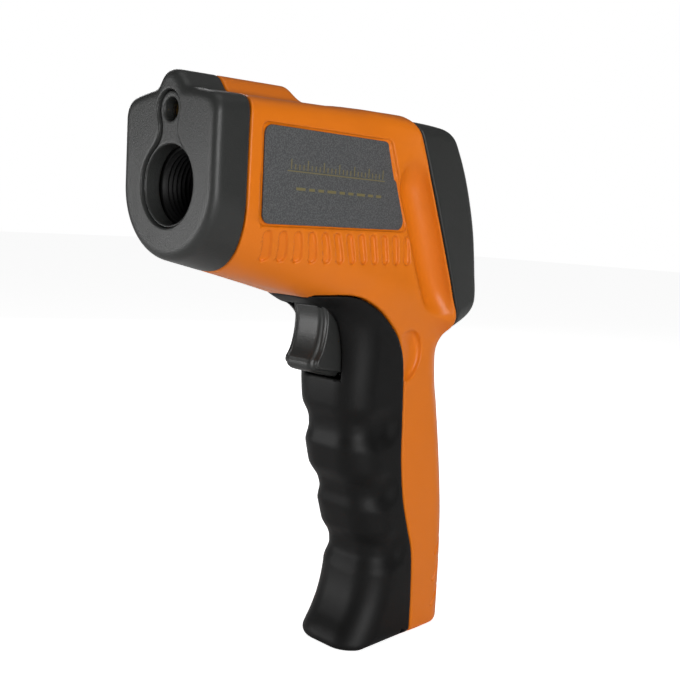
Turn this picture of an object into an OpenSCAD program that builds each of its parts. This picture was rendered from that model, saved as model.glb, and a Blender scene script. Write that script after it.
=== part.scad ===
// Pistol-grip infrared thermometer, built as separate pieces.
// Millimetres, +Z up.  The nose looks along -Y, the display faces +Y, +X is
// the left-hand side of the instrument as its user holds it.  The pieces are
// drawn with the nose face at Y = 0, then moved so that the origin is the
// middle of the lens opening's wall, on the optical axis.

/* [Housing] */
// Half width of the barrel
barrel_hw = 17.8; // [17.6:0.1:18.2]
// Half width of the rear flange and bezel
flange_hw = 21.5; // [21.2:0.1:22]
// Half width of the handle
handle_hw = 12.5; // [12.5:0.1:13]
// Wall thickness of the mouldings
wall = 1.5; // [1.3:0.1:1.5]
// Gap between neighbouring mouldings
seam_gap = 0.25; // [0.15:0.05:0.3]
// Lean of the display end from vertical, degrees
rear_tilt = 23.8; // [23.4:0.1:24.2]

/* [Optics] */
// Radius of the lens opening
lens_bore_r = 9.0; // [8.8:0.05:9.1]
// Length of the straight collar of the lens opening
lens_bore_len = 4.2; // [4:0.1:4.3]
// Radius of the aiming-beam opening
laser_hole_r = 2.55; // [2.4:0.05:2.6]
// Height of the aiming-beam opening above the optical axis
laser_z = 16.8; // [16.6:0.1:17]
// Number of baffle rings in the lens barrel
baffles = 12; // [6:1:14]

/* [Controls] */
// Sideways pitch of the rear buttons
button_pitch = 11.5; // [11:0.5:12]
// Radius of the trigger's pivot pin
trigger_pin_r = 1.0; // [0.9:0.05:1]
// Radius of the battery door's hinge pin
door_pin_r = 0.8; // [0.7:0.05:0.8]

/* [Batteries] */
// Radius of an AAA cell
cell_r = 5.25; // [5.1:0.05:5.25]
// Overall length of an AAA cell
cell_len = 44.5; // [44:0.1:44.5]

/* [Hidden] */
$fn = 48;

orange = [0.85, 0.45, 0.12];
black = [0.12, 0.12, 0.12];
grey = [0.3, 0.3, 0.3];
steel = [0.75, 0.75, 0.77];
board_green = [0.05, 0.35, 0.15];

nose_len = 9.4;                // depth of the nose cap
shell_y = nose_len + 0.2;      // front edge of the shells
insert_y = 0.8;                // front face of the optics insert
axis_tilt = 12;                // slope of the barrel's rounded underside
ridge_r = 4.3;                 // ridge over the aiming beam
ridge_z = 21.3;
beam = [0, laser_z];           // aiming beam, X and Z
base_z = -127.4;               // underside of the handle

hinge = [82.0, -125.8];        // battery door hinge, Y and Z
hinge_r = 3.2;                 // rear rounding of the door around its hinge
knuckle_hw = 8.8;              // half width of the door's knuckle
ear_x = 9.0;                   // inner face of the shells' hinge ears
ear_width = 1.7;
ear_r = 1.5;
ear_gap = 0.05;

pivot = [54.5, -31.5];         // trigger pivot, Y and Z
plunger_z = pivot[1] - 8;      // height where the trigger meets the switch
plunger_r = 1.2;
trigger_hw = 6.45;
switch_holes = [[-5, -45.5], [5, -45.5]];      // X and Z

// body screws, Y and Z
screw_pts = [[28, 18.2], [52, 18.2], [57, -21.5], [86.5, -58], [94, -112]];
seat_x = -8;                   // where their heads seat
screw_head = 1.7;              // thickness of their heads
post_r = 2.6;

// display end, in the rear frame
button_z = -17;                // row of buttons
board_y = [5, 6.6];            // faces of the main board
board_gap = 0.05;              // gap to the parts mounted on it
lcd_hw = 15.2;                 // half width and top of the display stack
lcd_top = 16.2;
board_pts = [[-17.4, 17], [17.4, 17], [-17.4, -22], [17.4, -22]];   // screws, X and Z

// battery bay, in the bay frame
cell_x = 5.37;                 // each cell's distance from the middle
cell_base = -19.1;             // flat end of an unturned cell
cell_tip = 1.1;                // height of the raised contact
tray_hw = 10.8;
tray_end = 28.4;               // half length of the tray
tray_end_in = 26;              // inner face of its end walls
tray_back = 7.5;

sensor_pins = [for (x = [-1.8, 1.8], z = [-1.8, 1.8]) [x, z]];

// ---- helpers -----------------------------------------------------------
// side view outline (Y, Z) swept across X
module sweep_x(x0, x1) translate([x0, 0, 0]) rotate([90, 0, 90])
  linear_extrude(x1 - x0) children();
// the same, evenly about the middle plane
module sweep_mid(half_width) sweep_x(-half_width, half_width) children();
// front view outline (X, Z) swept along Y
module sweep_y(y0, y1) translate([0, y1, 0]) rotate([90, 0, 0])
  linear_extrude(y1 - y0) children();
// cylinder along X, at = [y, z]
module cyl_x(r, x0, x1, at) translate([x0, at[0], at[1]]) rotate([0, 90, 0])
  cylinder(r = r, h = x1 - x0);
// the same, evenly about the middle plane
module pin(r, half_length, at) cyl_x(r, -half_length, half_length, at);
// cylinder along Y, at = [x, z]
module cyl_y(r, y0, y1, at = [0, 0]) translate([at[0], y0, at[1]]) rotate([-90, 0, 0])
  cylinder(r = r, h = y1 - y0);
// box from its low corner to its high corner
module box(low, high) translate(low) cube(high - low);
// box evenly about the middle plane, y and z as [low, high]
module slab(half_width, y, z) box([-half_width, y[0], z[0]], [half_width, y[1], z[1]]);
// frame of the leaning display end: local Y is the way the display faces
module rear_frame() translate([0, 75.2, -5]) rotate([rear_tilt, 0, 0]) children();
// frame of the battery bay: local Z runs along the cells
module bay() translate([0, 74.2, -78.5]) rotate([5.93, 0, 0]) children();
// column along the handle, from its cross-section (X, Y)
module handle_column() rotate([5.5, 0, 0]) translate([0, 0, -140])
  linear_extrude(150) children();
// rounded rectangle about the Y axis, from y0 to y1
module round_rect(half_width, y0, y1, r) {
  inner_x = half_width - r;
  for (x = [-inner_x, inner_x], y = [y0 + r, y1 - r]) translate([x, y]) circle(r);
  translate([-inner_x, y0]) square([2 * inner_x, y1 - y0]);
  translate([-half_width, y0 + r]) square([2 * half_width, y1 - y0 - 2 * r]);
}
// points of an arc
function arc(centre, r, from, to, steps = 6) = [for (i = [0 : steps])
  let(angle = from + (to - from) * i / steps) centre + r * [cos(angle), sin(angle)]];
// right half of an outline (all x >= 0), followed by its mirror image
function symmetric(half) = concat(half,
  [for (i = [len(half) - 1 : -1 : 0]) if (half[i][0] > 0) [-half[i][0], half[i][1]]]);
// rounded rectangle with facetted corners, for the mouldings
module facet_rect(half_width, y0, y1, r) polygon(concat(
  arc([-half_width + r, y0 + r], r, 180, 270), arc([half_width - r, y0 + r], r, 270, 360),
  arc([half_width - r, y1 - r], r, 0, 90), arc([-half_width + r, y1 - r], r, 90, 180)));
// straight-sided slot with round ends
module pill(length, width) {
  for (end = [-1, 1]) translate([end * (length - width) / 2, 0]) circle(width / 2);
  square([length - width, width], center = true);
}
// round wire through a list of points
module wire(points, r) for (i = [0 : len(points) - 2]) {
  step = points[i + 1] - points[i];
  translate(points[i]) rotate([0, acos(step[2] / norm(step)), atan2(step[1], step[0])])
    cylinder(r = r, h = norm(step));
  if (i > 0) translate(points[i]) sphere(r * 1.12);
}
// closed tube swept along a list of points
module coil(path, r, sides = 6) {
  last = len(path) - 1;
  function tangent(i) = let(chord = path[min(i + 1, last)] - path[max(i - 1, 0)])
    chord / norm(chord);
  function ring(i) = let(along = tangent(i),
    across = cross(along, abs(along[2]) < 0.8 ? [0, 0, 1] : [1, 0, 0]),
    unit = across / norm(across), other = cross(along, unit))
    [for (k = [0 : sides - 1])
      path[i] + r * (cos(360 * k / sides) * unit + sin(360 * k / sides) * other)];
  walls = [for (i = [0 : last - 1], k = [0 : sides - 1])
    let(a = i * sides + k, b = i * sides + (k + 1) % sides)
    each [[a, b, b + sides], [a, b + sides, a + sides]]];
  start_cap = [for (k = [sides - 1 : -1 : 0]) k];
  end_cap = [for (k = [0 : sides - 1]) last * sides + k];
  polyhedron([for (i = [0 : last]) each ring(i)], concat(walls, [start_cap, end_cap]));
}

// ---- outlines ----------------------------------------------------------
// nose section (X, Z), inset: flat sides and the ridge for the aiming beam
module nose_outline(inset = 0) {
  half_width = 17.4 - inset;
  round_r = ridge_r - 0.7 * inset;
  intersection() {
    translate([-half_width, -30]) square([2 * half_width, 60]);
    polygon(symmetric([[half_width, -30], [half_width, 17.6 - inset],
      [15.4 - inset, 19.6 - inset], [7, 21.2 - inset]]));
  }
  translate([0, ridge_z]) circle(round_r);
  translate([-round_r, 15]) square([2 * round_r, ridge_z - 15]);
}
// keyhole (X, Z) shared by the nose opening and the optics insert
module keyhole(grow = 0) {
  circle(9.9 + grow, $fn = 96);
  translate(beam) circle(4.2 + grow);
  translate([-3.6 - grow, 6]) square([7.2 + 2 * grow, laser_z - 6]);
}
// barrel from the side (Y, Z), up to the leaning seam of the bezel
barrel_pts = [[shell_y, -18.9], [38.5, -25], [60, -29.5], [73, -38], [80, -37.5],
  [83.2, -34.6], [84.9, -30], [84.3, -25.7], [63.1, 22.4], [62, 22.8], [40, 22.5],
  [shell_y, 21.2]];
// room inside the barrel (Y, Z)
barrel_room_pts = [[8, -17.1], [38.5, -23.4], [62, -28.3], [73, -36.4], [80, -36],
  [82.4, -33], [83.4, -29.5], [82.7, -25.9], [61.7, 21.2], [40, 20.9], [8, 19.6]];
// right halves of the barrel's roof and its inside (X, Z)
roof_half = [[18.4, -60], [18.4, 17.5], [15.5, 20.6], [10, 22.2], [0, 23.2]];
roof_room_half = [[16.5, -60], [16.5, 16.5], [14.5, 19], [9.5, 20.6], [0, 21.5]];
// saddle above the grip, and its room (Y, Z)
saddle_pts = [[31, -19.2], [38.4, -24.6], [60, -29.8], [72.2, -34], [72.2, -19.2]];
saddle_room_pts = [[45, -16], [45, -23], [62, -27], [71, -31], [71, -16]];
// ridge over the aiming beam (Y, Z)
ridge_pts = [[shell_y, 15], [shell_y, 25.5], [32, 25], [35, 24.4], [40, 22], [40, 15]];
// flared rim and its room, in the rear frame (Y, Z)
rim_pts = [[-5, -25.5], [-0.05, -30.6], [-0.05, 31], [-5, 31.5]];
rim_room_pts = [[-5.2, -24.5], [1, -28.5], [1, 27.5], [-5.2, 27.5]];
// handle with its front grip (Y, Z)
handle_pts = [[38.6, -24.7], [50, -24], [60, -24], [72, -28], [83.2, -34.6],
  [90.5, -37.2], [91.4, -41], [92.2, -46], [94.6, -56], [100.3, -88.6], [101.6, -110],
  [101.9, -122], [101.3, -126.2], [100.2, base_z], [60.2, base_z], [59.2, -126.4], [59.4, -125],
  [60.4, -123.4], [63.5, -119], [65.8, -113.5], [67.4, -107], [68.2, -102], [67.6, -97.6],
  [65.6, -94.3], [63.7, -90.2], [62.5, -86.4], [61.8, -81.6], [60.3, -77.9], [58.6, -75],
  [57.4, -71], [56.6, -66.8], [56.7, -62.8], [55.9, -58.3], [54.5, -55.6], [53.9, -50.9],
  [53.8, -44], [53, -37], [50.5, -31.5], [46, -28.6], [42, -27.4], [39.5, -26.3]];
// room inside the handle, open towards the grip (Y, Z)
handle_room_pts = [[52, -20], [76, -22], [84.5, -38.5], [89.6, -41.5], [90.5, -46],
  [92.8, -56.3], [98.5, -88.9], [99.8, -110], [100, -121], [99.4, -125.6], [40, -125.6],
  [40, -34], [56, -31]];
// room inside the battery door, open at the back (Y, Z)
door_room_pts = [[59.5, -18], [95, -18],
  [95, -120.8], [79, -120.8], [77.3, -125.2], [64, -125.2], [63.2, -123.8], [66.2, -119.5],
  [68.3, -113], [69.6, -107], [70.2, -102], [69.5, -98], [67.4, -95], [65.6, -91],
  [64.4, -87], [63.8, -82], [62.2, -78.6], [60.5, -75.6], [59.3, -71.5], [58.6, -67],
  [58.6, -63], [57.8, -58.8], [56.6, -56], [56, -51], [56, -44], [56, -40], [59.5, -37]];
// trigger: narrow core, and the wider body set back from its edge (Y, Z)
trigger_core_pts = [[47.0, -28.3], [47.65, -32], [47.2, -36.7], [45.9, -40.3], [44.5, -42.6],
  [44.3, -44.2], [45.0, -45.6], [46.6, -46.6], [52, -47.6], [55.6, -48.0], [56.4, -46],
  [56.6, -38], [57.5, -34], [57.2, -28.8], [56, -28.3]];
trigger_body_pts = [[47.9, -28.3], [48.8, -32], [48.4, -36.7], [47.1, -40.5], [45.9, -42.9],
  [45.9, -44.2], [47.0, -45.6], [52, -46.9], [55.4, -47.3], [56, -46], [56.2, -38],
  [57.3, -34], [57.0, -28.8], [56, -28.3]];
// everything in front of the grip seam (Y, Z); gap moves the seam towards the back
module grip_zone(gap = 0) {
  hinge_back = hinge[0] + hinge_r + gap;
  polygon([[38.5 - gap, -25 + gap], [50, -24.9 + gap], [54 + gap / 2, -26 + gap],
    [60 + gap / 2, -29 + gap], [66 + gap, -33.1 + gap], [70.4 + gap, -37.3 + gap],
    [73.1 + gap, -43], [74.6 + gap, -52], [75.8 + gap, -69], [78.3 + gap, -84.5],
    [83.8 + gap, -102], [85 + gap, -115], [hinge_back, hinge[1]],
    [hinge_back - 0.45, -128], [30, -128], [30, -34], [36.5, -26]]);
}
// flange and bezel seen along the way the display faces
module flange_outline(inset = 0) polygon(symmetric(concat(
  arc([flange_hw - 7, -23.6], 7 - inset, -90, 0),
  arc([flange_hw - 6, 20.6], 6 - inset, 0, 60),
  [for (x = [14, 10, 5, 0]) [x, -13.5 + sqrt(pow(44 - inset, 2) - x * x)]])));
// bezel depth profile, local Y against local Z
module bezel_side(inset = 0) polygon([[-3, -30.6 + inset], [2.5, -30.5 + inset],
  [6.4 - inset * 0.8, -28.7 + inset], [9.8 - inset, -24.4], [11.3 - inset, -19],
  [13 - inset, -12.5], [14 - inset, -6.5], [14.6 - inset, 0.9], [14.7 - inset, 10.3],
  [14 - inset, 18.9 - inset], [11 - inset, 23.3 - inset], [9.5 - inset, 25.6 - inset],
  [0.1, 30 - inset], [-3, 31 - inset]]);
// side label (Y, Z)
module label_outline(grow = 0) polygon([[13.3 - grow, 13.2], [14.6, 14.5 + grow],
  [54.4, 14.8 + grow], [56 + grow, 13.6], [63.9 + grow, -4.9], [62.7 + grow, -7 - grow],
  [15.2, -7.2 - grow], [13.7 - grow, -5.8]]);

// barrel section with its round underside, following the slope
module barrel_form(y0, y1, inset = 0) {
  r = barrel_hw - inset;
  rotate([-axis_tilt, 0, 0]) translate([0, 0, 1]) sweep_y(y0, y1)
    polygon(concat(arc([0, 0], r, 180, 360, 28), [[r, 70], [-r, 70]]));
}

// ---- housing -----------------------------------------------------------
module shell_solid() {
  intersection() {                                   // barrel
    sweep_mid(barrel_hw) polygon(barrel_pts);
    barrel_form(-20, 110);
    sweep_y(0, 110) polygon(symmetric(roof_half));
  }
  sweep_mid(handle_hw - 0.3) polygon(saddle_pts);
  intersection() {                                   // ridge over the aiming beam
    sweep_mid(ridge_r) polygon(ridge_pts);
    sweep_y(shell_y, 40) polygon(concat([[-ridge_r, 15], [ridge_r, 15]],
      arc([0, ridge_z], ridge_r, 0, 180, 12)));
  }
  rear_frame() intersection() {                      // flared rim in front of the bezel
    sweep_y(-5, 0) flange_outline();
    sweep_mid(22) polygon(rim_pts);
  }
  intersection() {                                   // handle
    sweep_mid(handle_hw) polygon(handle_pts);
    handle_column() facet_rect(handle_hw, 34, 90.6, 6);
  }
}
module shell_room() {
  intersection() {
    sweep_mid(barrel_hw - wall) polygon(barrel_room_pts);
    barrel_form(-20, 110, wall);
    sweep_y(0, 110) polygon(symmetric(roof_room_half));
  }
  sweep_mid(handle_hw - wall - 0.4) polygon(saddle_room_pts);
  cyl_y(3.1, 5, 31, [0, 20.9]);                      // under the ridge
  rear_frame() intersection() {
    sweep_mid(18) polygon(rim_room_pts);
    sweep_y(-5.2, 1) facet_rect(18, -28.5, 26, 5);
  }
  intersection() {
    sweep_mid(handle_hw - wall) polygon(handle_room_pts);
    handle_column() facet_rect(handle_hw - wall, 34, 88.9, 4.6);
  }
}
// row of shallow upright slots low on the barrel's side
module slots(dir) difference() {
  for (i = [0 : 11]) translate([dir * barrel_hw, 15.2 + 4.65 * i, -12.6])
    rotate([-13 + 2.1 * i, 0, 0]) rotate([0, 90, 0]) translate([0, 0, -5])
      linear_extrude(10) pill(7.2, 2);
  barrel_form(-20, 110, 0.5);
}
// dir is 1 for the left shell, -1 for the right
module half_shell(dir) {
  left = dir > 0;
  own_ear_x = left ? ear_x : -ear_x - ear_width;
  difference() {
    union() {
      difference() {
        shell_solid();
        shell_room();
      }
      // screw posts, kept inside the outer form
      intersection() {
        shell_solid();
        for (post = screw_pts)
          if (left) cyl_x(post_r, 0.05, barrel_hw, post);
          else union() {
            cyl_x(post_r, seat_x, -0.05, post);
            cyl_x(3.8, -barrel_hw, seat_x + 1.5, post);
          }
      }
      // hinge ear
      cyl_x(ear_r, own_ear_x, own_ear_x + ear_width, hinge);
      box([own_ear_x, hinge[0], hinge[1] - ear_r],
        [own_ear_x + ear_width, 88, hinge[1] + ear_r]);
    }
    difference() {                                   // opening closed by the battery door
      sweep_mid(30) grip_zone(seam_gap);
      for (x = [-ear_x - ear_width, ear_x])
        sweep_x(x - ear_gap, x + ear_width + ear_gap) union() {
          translate(hinge) circle(ear_r);
          translate([hinge[0], hinge[1] - ear_r]) square([8, 2 * ear_r]);
        }
    }
    // the other half
    box([left ? -60 : -0.03, -20, -200], [left ? 0.03 : 60, 200, 100]);
    // screw holes: pilots on the left, clearance and head wells on the right
    for (post = screw_pts)
      if (left) cyl_x(1.12, -1, 7.5, post);
      else {
        cyl_x(1.15, -20, 1, post);
        cyl_x(2.45, -20, seat_x, post);
      }
    // label recess
    sweep_x(left ? barrel_hw - 0.7 : -barrel_hw - 1, left ? barrel_hw + 1 : -barrel_hw + 0.7)
      label_outline(0.3);
    slots(dir);
    pin(door_pin_r + 0.02, 10.8, hinge);
    // shallow finger scallop beside the grip
    cyl_x(6.8, dir * 15.9 - 4, dir * 15.9 + 4, [73, -42]);
  }
}
module left_shell() color(orange) half_shell(1);
module right_shell() color(orange) half_shell(-1);
module left_label() color(grey) sweep_x(barrel_hw - 0.65, barrel_hw - 0.2) label_outline();
module right_label() color(grey) sweep_x(-barrel_hw + 0.2, -barrel_hw + 0.65) label_outline();
module body_screws() color(steel) for (screw = screw_pts) difference() {
  union() {
    cyl_x(1.1, seat_x - 0.1, 6, screw);
    cyl_x(2.2, seat_x - screw_head, seat_x, screw);
  }
  for (angle = [0, 90])                              // cross recess
    translate([seat_x - screw_head, screw[0], screw[1]]) rotate([angle, 0, 0])
      cube([1.4, 2.6, 0.5], center = true);
}

// ---- nose and optics ---------------------------------------------------
module nose_cap() color(black) difference() {
  intersection() {
    sweep_y(0, nose_len) nose_outline();
    barrel_form(-20, 30);
  }
  intersection() {
    sweep_y(2, nose_len + 1) nose_outline(1.8);
    barrel_form(-20, 30, 1.8);
  }
  sweep_y(-1, 3) keyhole();
}
module optics_insert() color(black) difference() {
  union() {
    sweep_y(insert_y, 2.9) keyhole(-0.1);
    cyl_y(9.8, insert_y, insert_y + lens_bore_len, $fn = 96);
    cyl_y(3.8, insert_y, 13, beam);
  }
  cyl_y(lens_bore_r, 0, 6, $fn = 96);
  cyl_y(laser_hole_r, 0, 4, beam);
  cyl_y(3.05, 3.4, 14, beam);
}
// turned from a profile of radius against depth
module lens_barrel() {
  pitch = 15 / baffles;
  teeth = [for (i = [baffles - 1 : -1 : 0]) let(start = 0.6 + i * pitch)
    each [[8.2, start + pitch * 2 / 3], [7.6, start + pitch / 3], [8.2, start]]];
  color(black) translate([0, 5.1, 0]) rotate([-90, 0, 0]) rotate_extrude($fn = 96)
    polygon(concat([[9.7, 0], [9.7, 31], [4.9, 31], [4.9, 29.4], [8.1, 29.4], [8.1, 15.6]],
      teeth, [[8.2, 0]]));
}
// convex on both faces
module ir_lens() color([0.85, 0.88, 0.9, 0.6]) translate([0, 22.8, 0]) rotate([-90, 0, 0])
  rotate_extrude($fn = 96) polygon(concat([for (i = [0 : 8]) [i, -1.5 + i * i / 64]],
    [for (i = [8 : -1 : 0]) [i, 1.5 - i * i / 64]]));
module lens_ring() color(steel) difference() {
  cyl_y(8.0, 24.7, 26.2, $fn = 64);
  cyl_y(6.4, 24, 27, $fn = 64);
}
module thermopile_sensor() color(steel) difference() {
  union() {
    cyl_y(4.1, 31.5, 36, $fn = 64);
    cyl_y(4.6, 35.2, 36.0, $fn = 64);
    for (at = sensor_pins) cyl_y(0.22, 35.9, 39.4, at, $fn = 16);
  }
  cyl_y(1.6, 31, 31.9);
}
module sensor_board() color(board_green) difference() {
  slab(9, [36.6, 37.8], [-8.5, 8.5]);
  for (at = sensor_pins) cyl_y(0.3, 36, 39, at, $fn = 16);
}
module laser_module() color([0.78, 0.6, 0.25]) difference() {
  cyl_y(3.0, 4.4, 23.5, beam);
  cyl_y(2.4, 4, 6.5, beam);
}
module laser_lens() color([0.8, 0.85, 0.9, 0.5]) cyl_y(2.35, 4.8, 6.4, beam);

// ---- display end -------------------------------------------------------
module rear_bezel() color(black) rear_frame() difference() {
  intersection() {
    sweep_y(0.1, 15.5) flange_outline();
    sweep_mid(22) bezel_side();
  }
  difference() {                                     // room, leaving the board posts
    intersection() {
      sweep_y(-1, 14) flange_outline(1.8);
      sweep_mid(20) bezel_side(1.9);
    }
    for (post = board_pts) cyl_y(1.9, 6.7, 15, post);
  }
  for (post = board_pts) cyl_y(0.87, 6, 8.4, post);
  sweep_y(8, 16) round_rect(14.6, -4.6, 16.6, 1.2);  // view opening
  sweep_y(13.3, 16) round_rect(16, -6, 18, 1.6);     // window seat
  for (k = [-1, 0, 1]) sweep_y(5, 16) translate([k * button_pitch, button_z]) pill(8.3, 5.7);
}
module lcd_window() color([0.7, 0.8, 0.85, 0.4]) rear_frame()
  sweep_y(13.35, 14.5) round_rect(15.9, -5.9, 17.9, 1.5);
module lcd_panel() color([0.62, 0.68, 0.6]) rear_frame()
  slab(lcd_hw, [10, 11.7], [-7.9, lcd_top]);
module lcd_backlight() color([0.95, 0.95, 0.92]) rear_frame()
  slab(lcd_hw, [7.2, 9.95], [-5, lcd_top]);
module zebra_strip() color([0.85, 0.6, 0.7]) rear_frame()
  slab(14.5, [board_y[1] + board_gap, 9.95], [-7.8, -5.4]);
module main_board() color(board_green) rear_frame() difference() {
  sweep_y(board_y[0], board_y[1]) round_rect(19, -25.2, 20.5, 2);
  for (screw = board_pts) cyl_y(1.0, 4, 8, screw);
}
module main_chip() color(black) rear_frame()
  translate([-7, board_y[0] - board_gap, 2]) rotate([90, 0, 0]) rotate_extrude()
    polygon(concat([[0, 0]], [for (i = [0 : 9]) [5.5 * cos(10 * i), 1.7 * sin(10 * i)]]));
module buzzer() color([0.8, 0.65, 0.3]) rear_frame() difference() {
  cyl_y(5.5, 2.8, board_y[0] - board_gap, [9, -12]);
  cyl_y(0.9, 2, 4, [9, -12]);
}
module dome_switches() color(steel) rear_frame() for (k = [-1, 0, 1])
  translate([k * button_pitch, board_y[1] + board_gap, button_z]) rotate([-90, 0, 0])
    rotate_extrude()
      polygon(concat([[0, 0]], [for (i = [0 : 6]) [2.5 * cos(15 * i), 0.45 * sin(15 * i)]]));
// flanged button, k places to the left of the middle
module button(k) color([0.25, 0.26, 0.26]) rear_frame() intersection() {
  union() {
    sweep_y(7.95, 14) translate([k * button_pitch, button_z]) pill(8.0, 5.4);
    sweep_y(7.95, 8.9) translate([k * button_pitch, button_z]) pill(9.4, 6.8);
  }
  sweep_mid(30) polygon([[7, -22], [12, -22], [12.9, -12], [7, -12]]);
}
module button_left() button(1);
module button_middle() button(0);
module button_right() button(-1);
module board_screws() color(steel) rear_frame() for (screw = board_pts) {
  cyl_y(0.85, 4.9, 8.2, screw);
  cyl_y(1.6, 4.0, 4.95, screw);
}

// ---- battery bay -------------------------------------------------------
module battery_tray() color(black) difference() {
  union() {
    bay() slab(tray_hw, [0.5, tray_back], [-tray_end, tray_end]);
    bay() slab(tray_hw, [-5, tray_back], [tray_end_in, tray_end]);
    bay() slab(tray_hw, [-5, tray_back], [-tray_end, -tray_end_in]);
    slab(8, [66.3, 69.3], [-52, -35.5]);             // plate behind the switch board
  }
  bay() for (x = [-cell_x, cell_x]) translate([x, 0, -25.95])
    cylinder(r = cell_r + 0.06, h = 51.9);
  bay() slab(8, [2, 5.2], [-25.95, 25.95]);
  bay() slab(7.5, [-6, 1], [27.2, 30]);
  for (at = switch_holes) cyl_y(0.85, 65, 69, at);
}
// dir is 1 for the left cell, whose raised contact points down, -1 for the right
module cell(dir) bay() translate([dir * cell_x, 0, 0]) rotate([dir > 0 ? 180 : 0, 0, 0]) {
  color([0.2, 0.2, 0.22]) translate([0, 0, cell_base]) cylinder(r = cell_r, h = cell_len - 1);
  color(steel) translate([0, 0, cell_base + cell_len - cell_tip])
    cylinder(r = 2.0, h = cell_tip);
}
module battery_left() cell(1);
module battery_right() cell(-1);
// conical springs, widening towards the tray's end walls
module contact_springs() color(steel) bay() for (dir = [-1, 1])
  translate([dir * cell_x, 0, 0]) rotate([dir > 0 ? 0 : 180, 0, 0])
    coil([for (i = [0 : 64]) let(angle = i * 360 / 16, part = i / 64, r = 2.0 + 1.9 * part)
      [r * cos(angle), r * sin(angle), 19.6 + 5.4 * part]], 0.32);
module terminal_plates() color(steel) bay() for (x = [-cell_x, cell_x])
  box([x - 4.4, -4, 25.42], [x + 4.4, 2.8, 25.85]);
module bridge_plate() color(steel) bay() slab(9.8, [-4, 0.4], [-25.85, -25.42]);

// ---- trigger switch ----------------------------------------------------
module switch_board() color(board_green) difference() {
  slab(7.5, [65, 66.2], [-48, -35.7]);
  for (at = switch_holes) cyl_y(0.9, 64, 67, at);
}
module trigger_switch() color(black) difference() {
  slab(3, [61.9, 64.95], [-42.6, -36.4]);
  cyl_y(plunger_r + 0.05, 61, 64.8, [0, plunger_z]);
}
module switch_plunger() color([0.8, 0.2, 0.15]) cyl_y(plunger_r, 60.35, 63.6, [0, plunger_z]);

// ---- battery door, which is the whole front of the grip ------------------
module battery_door() color(black) difference() {
  union() {
    difference() {
      intersection() {
        sweep_mid(handle_hw) intersection() {
          polygon(handle_pts);
          grip_zone();
        }
        handle_column() union() {
          facet_rect(handle_hw, 34, 90.6, 6);
          translate([-handle_hw, 20]) square([2 * handle_hw, 24.5]);
        }
        union() {                                    // stepped front of the grip
          rotate([-4, 0, 0]) slab(handle_hw, [57, 110], [-160, 0]);
          slab(11, [30, 80], [-50, -20]);
          slab(10.5, [30, 110], [-130, -20]);
        }
      }
      sweep_mid(handle_hw - wall) polygon(door_room_pts);
      sweep_mid(11.05) polygon([[77.3, -120], [77.3, -130], [90, -130], [90, -120]]);
    }
    difference() {                                   // knuckle between the shell's ears
      pin(hinge_r, knuckle_hw, hinge);
      slab(9, [70, 90], [-140, base_z]);
    }
    slab(knuckle_hw, [76.5, hinge[0]], [base_z, -125.2]);
  }
  // trigger opening
  sweep_mid(6.75) polygon([[43, -27.9], [61, -27.9], [61, -48.4], [40, -48.4], [40, -30]]);
  pin(trigger_pin_r + 0.02, 9.1, pivot);
  pin(door_pin_r + 0.05, 10, hinge);
}
module door_pin() color(steel) pin(door_pin_r, 10.65, hinge);
module trigger() color(black) difference() {
  union() {
    sweep_mid(5.2) polygon(trigger_core_pts);
    sweep_mid(trigger_hw) polygon(trigger_body_pts);
    pin(2.9, trigger_hw, pivot);
    // nose that presses the plunger
    sweep_mid(1.2) polygon([[54, -37.5], [59.1, -38.5], [59.1, -40.5], [54, -43.5]]);
    pin(1, 1.2, [59.1, plunger_z]);
  }
  pin(trigger_pin_r + 0.05, 8, pivot);
  slab(2.8, [51.6, 59], [-35.6, -27]);               // room for the spring
}
module trigger_pin() color(steel) pin(trigger_pin_r, 9.05, pivot);
// torsion spring around the pivot pin, with a leg at each end
module trigger_spring() color(steel) coil(concat(
  [[-2.1, 52.0, -35.3], [-2.1, 52.4, -33.4]],
  [for (i = [0 : 56]) let(angle = 200 - i * 360 / 16)
    [-2.1 + 4.2 * i / 56, pivot[0] + 1.75 * cos(angle), pivot[1] + 1.75 * sin(angle)]],
  [[2.1, 53.1, -29.2], [2.1, 52.3, -28.35]]), 0.28);

// ---- wiring ------------------------------------------------------------
module positive_wire() color([0.75, 0.08, 0.06])
  wire([[6.4, 76, -49], [6.4, 78, -38], [6, 78.5, -20], [5, 77, -6], [5, 77.8, -0.4]], 0.6);
module negative_wire() color([0.08, 0.08, 0.08])
  wire([[-6.4, 76, -49], [-6.4, 78, -38], [-6, 78.5, -22], [-14, 78, -9],
    [-14, 77.6, -1.4]], 0.6);
module sensor_cable() color([0.85, 0.85, 0.85])
  wire([[0, 38.2, -5], [0, 44, -7], [0, 60, -4], [0, 70, 2], [0, 75.2, 5.6]], 1.0);
module laser_wires() color([0.2, 0.3, 0.7]) for (dir = [-1, 1])
  wire([[dir * 1.3, 24.2, 15.6], [dir * 1.5, 26.6, 12.8], [dir * 2.5, 50, 12.4],
    [dir * 3, 60, 12], [dir * 3, 71.5, 12.8]], 0.5);

translate([0, -insert_y - lens_bore_len / 2, 0]) {
  left_shell();
  right_shell();
  nose_cap();
  optics_insert();
  lens_barrel();
  ir_lens();
  lens_ring();
  thermopile_sensor();
  sensor_board();
  laser_module();
  laser_lens();
  rear_bezel();
  lcd_window();
  lcd_panel();
  lcd_backlight();
  zebra_strip();
  main_board();
  main_chip();
  buzzer();
  dome_switches();
  button_left();
  button_middle();
  button_right();
  board_screws();
  body_screws();
  left_label();
  right_label();
  battery_tray();
  battery_left();
  battery_right();
  contact_springs();
  terminal_plates();
  bridge_plate();
  switch_board();
  trigger_switch();
  switch_plunger();
  battery_door();
  door_pin();
  trigger();
  trigger_pin();
  trigger_spring();
  positive_wire();
  negative_wire();
  sensor_cable();
  laser_wires();
}
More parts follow.
